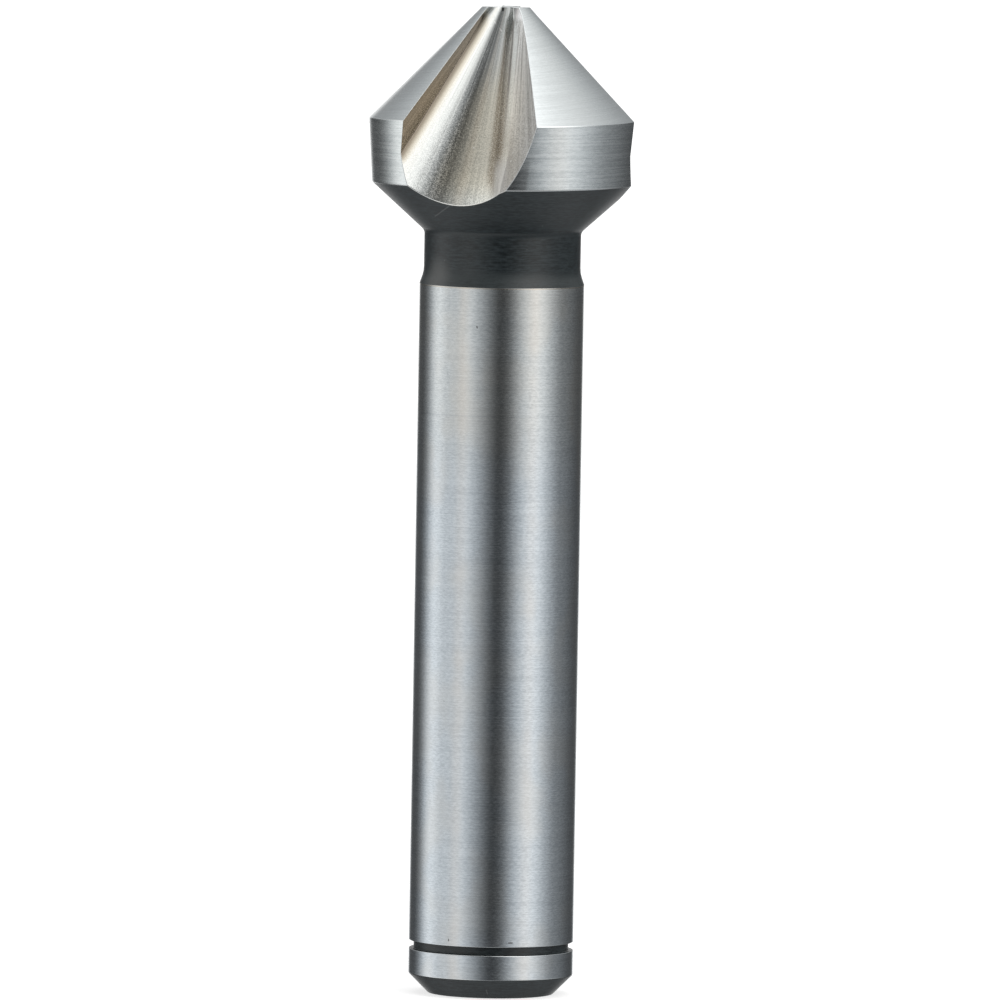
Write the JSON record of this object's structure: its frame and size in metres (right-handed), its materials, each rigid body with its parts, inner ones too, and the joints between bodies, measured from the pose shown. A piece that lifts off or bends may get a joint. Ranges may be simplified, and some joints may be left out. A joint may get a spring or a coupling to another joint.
{
  "type": "countersink bit",
  "caption": "Countersink bit turned and ground from one piece of steel: a plain round shank, a short neck and a 90 degree fluted cutting head.",
  "frame": {"origin": "centre of the flat end face of the shank, on the tool's axis", "axes": "+Z along the tool's axis from the shank end to the tip; +X and +Y across it, with a chip flute facing -Y and a cutting edge at -137.3 degrees from +X"},
  "size_m": [0.016, 0.0162, 0.06],
  "materials": {
    "tool_steel": "bright ground shank, lands, point and flutes; the back of the head, the neck, the ring groove and the shank end are left dark from hardening"
  },
  "bodies": {
    "root": {"countersink_bit": "tool_steel"}
  },
  "joints": []
}
